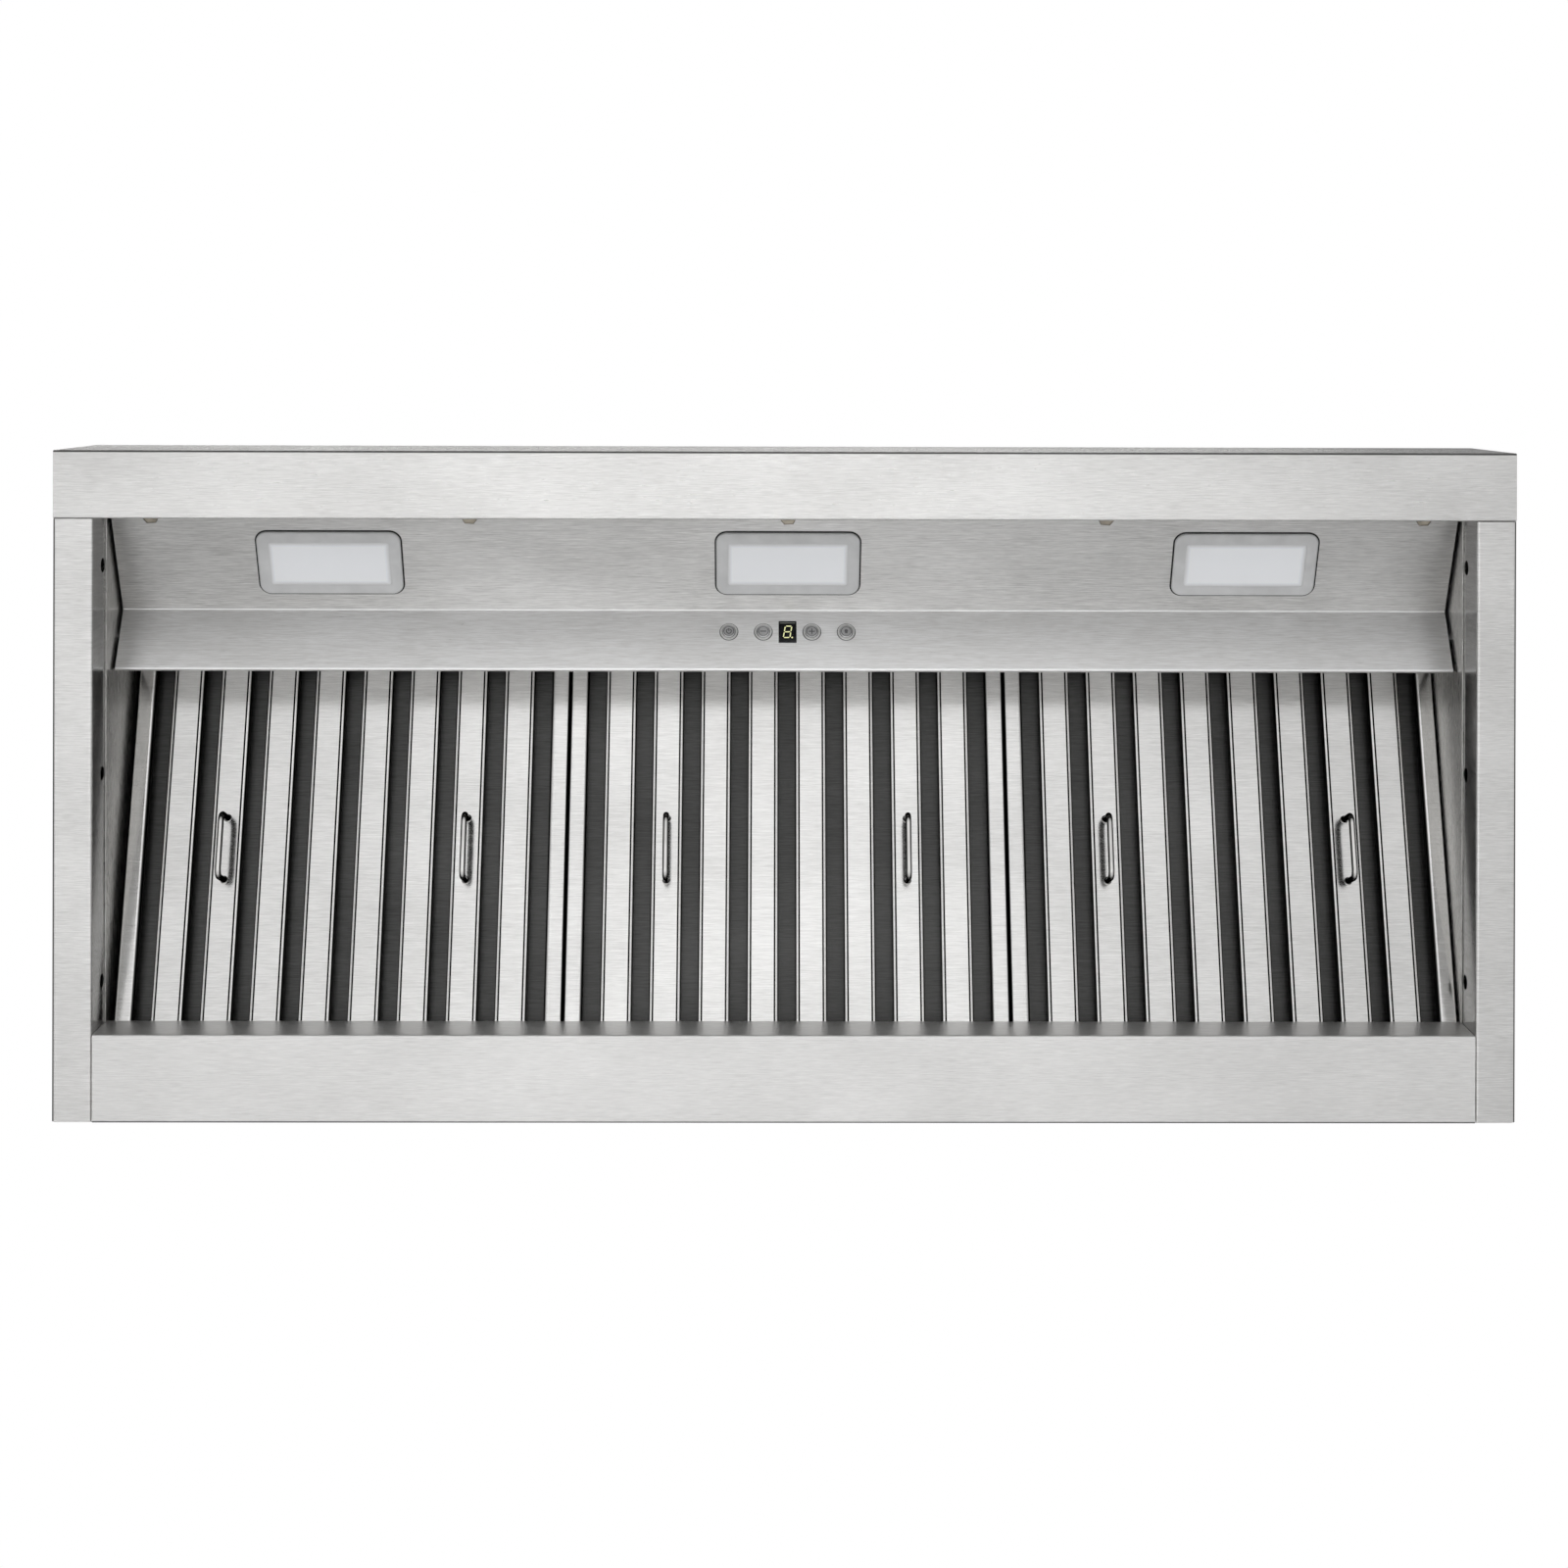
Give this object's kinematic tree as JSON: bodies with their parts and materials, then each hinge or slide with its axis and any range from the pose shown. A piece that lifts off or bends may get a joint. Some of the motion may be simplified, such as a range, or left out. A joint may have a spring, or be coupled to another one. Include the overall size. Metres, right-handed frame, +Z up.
{
  "type": "range hood insert",
  "caption": "Stainless range hood insert: box with a bottom rim, folded lamp and control panel, sloping baffle filters with wire handles, blower and round duct collar.",
  "frame": {"origin": "middle of the rim's underside", "axes": "+X to the right seen from the front, +Y to the wall, +Z up"},
  "size_m": [1.181, 0.542, 0.387],
  "materials": {
    "stainless": "brushed stainless steel",
    "galvanised": "zinc-coated sheet",
    "screw_steel": "plain screws",
    "lamp_frame": "light grey satin",
    "lamp_diffuser": "frosted white",
    "lamp_body": "dark plastic",
    "button_cap": "grey satin",
    "circuit_board": "green board",
    "stud": "plain studs",
    "black_plastic": "black gloss",
    "digit": "lit yellow-green",
    "shaft_steel": "ground shaft",
    "motor_body": "black enamel",
    "bush_rubber": "black rubber",
    "capacitor_can": "white can"
  },
  "bodies": {
    "hood": {"front_fascia": "stainless", "left_side_rim": "stainless", "right_side_rim": "stainless", "rear_rim": "stainless", "left_side_panel": "stainless", "right_side_panel": "stainless", "light_control_panel": "stainless", "grease_gutter": "stainless", "front_rail": "stainless", "filter_rail": "stainless", "top_deck": "galvanised", "box_front": "galvanised", "box_rear": "galvanised", "box_lid": "galvanised", "blower_housing": "galvanised", "motor_bracket": "galvanised", "duct_collar": "galvanised", "junction_box": "galvanised", "junction_cover": "galvanised", "panel_screws": "screw_steel", "case_screws": "screw_steel", "left_lamp_bezel": "lamp_frame", "left_lamp_lens": "lamp_diffuser", "left_lamp_housing": "lamp_body", "centre_lamp_bezel": "lamp_frame", "centre_lamp_lens": "lamp_diffuser", "centre_lamp_housing": "lamp_body", "right_lamp_bezel": "lamp_frame", "right_lamp_lens": "lamp_diffuser", "right_lamp_housing": "lamp_body", "button_rings": "button_cap", "button_switches": "lamp_body", "control_board": "circuit_board", "board_standoffs": "stud", "display_window": "black_plastic", "display_digit": "digit", "blower_motor": "motor_body", "cable_bush": "bush_rubber", "capacitor": "capacitor_can", "led_driver": "lamp_body"},
    "left_filter": {"left_filter_frame": "stainless", "left_filter_front_slats": "stainless", "left_filter_rear_slats": "stainless", "left_filter_handles": "stainless"},
    "centre_filter": {"centre_filter_frame": "stainless", "centre_filter_front_slats": "stainless", "centre_filter_rear_slats": "stainless", "centre_filter_handles": "stainless"},
    "right_filter": {"right_filter_frame": "stainless", "right_filter_front_slats": "stainless", "right_filter_rear_slats": "stainless", "right_filter_handles": "stainless"},
    "power_button": {"power_button": "button_cap"},
    "minus_button": {"minus_button": "button_cap"},
    "plus_button": {"plus_button": "button_cap"},
    "light_button": {"light_button": "button_cap"},
    "blower_wheel": {"impeller": "galvanised", "blower_shaft": "shaft_steel"},
    "front_flap": {"front_damper_flap": "galvanised"},
    "rear_flap": {"rear_damper_flap": "galvanised"}
  },
  "joints": [
    {"name": "power_button_press", "type": "slide", "parent": "hood", "child": "power_button", "axis": [0, 0.521, 0.8536], "range_m": [0, 0.0012], "stiffness_N_per_m": 600, "springref_m": -0.0008},
    {"name": "minus_button_press", "type": "slide", "parent": "hood", "child": "minus_button", "axis": [0, 0.521, 0.8536], "range_m": [0, 0.0012], "stiffness_N_per_m": 600, "springref_m": -0.0008},
    {"name": "plus_button_press", "type": "slide", "parent": "hood", "child": "plus_button", "axis": [0, 0.521, 0.8536], "range_m": [0, 0.0012], "stiffness_N_per_m": 600, "springref_m": -0.0008},
    {"name": "light_button_press", "type": "slide", "parent": "hood", "child": "light_button", "axis": [0, 0.521, 0.8536], "range_m": [0, 0.0012], "stiffness_N_per_m": 600, "springref_m": -0.0008},
    {"name": "left_filter_lift", "type": "slide", "parent": "hood", "child": "left_filter", "axis": [0, -0.9521, 0.3057], "range_m": [0, 0.016]},
    {"name": "centre_filter_lift", "type": "slide", "parent": "hood", "child": "centre_filter", "axis": [0, -0.9521, 0.3057], "range_m": [0, 0.016]},
    {"name": "right_filter_lift", "type": "slide", "parent": "hood", "child": "right_filter", "axis": [0, -0.9521, 0.3057], "range_m": [0, 0.016]},
    {"name": "blower_spin", "type": "hinge", "parent": "hood", "child": "blower_wheel", "pos_m": [0, 0.01, 0.242], "axis": [1, 0, 0], "continuous": true},
    {"name": "front_flap_hinge", "type": "hinge", "parent": "hood", "child": "front_flap", "pos_m": [0, 0.0915, 0.356], "axis": [-1, 0, 0], "range_deg": [0, 80]},
    {"name": "rear_flap_hinge", "type": "hinge", "parent": "hood", "child": "rear_flap", "pos_m": [0, 0.0985, 0.356], "axis": [1, 0, 0], "range_deg": [0, 80]}
  ]
}
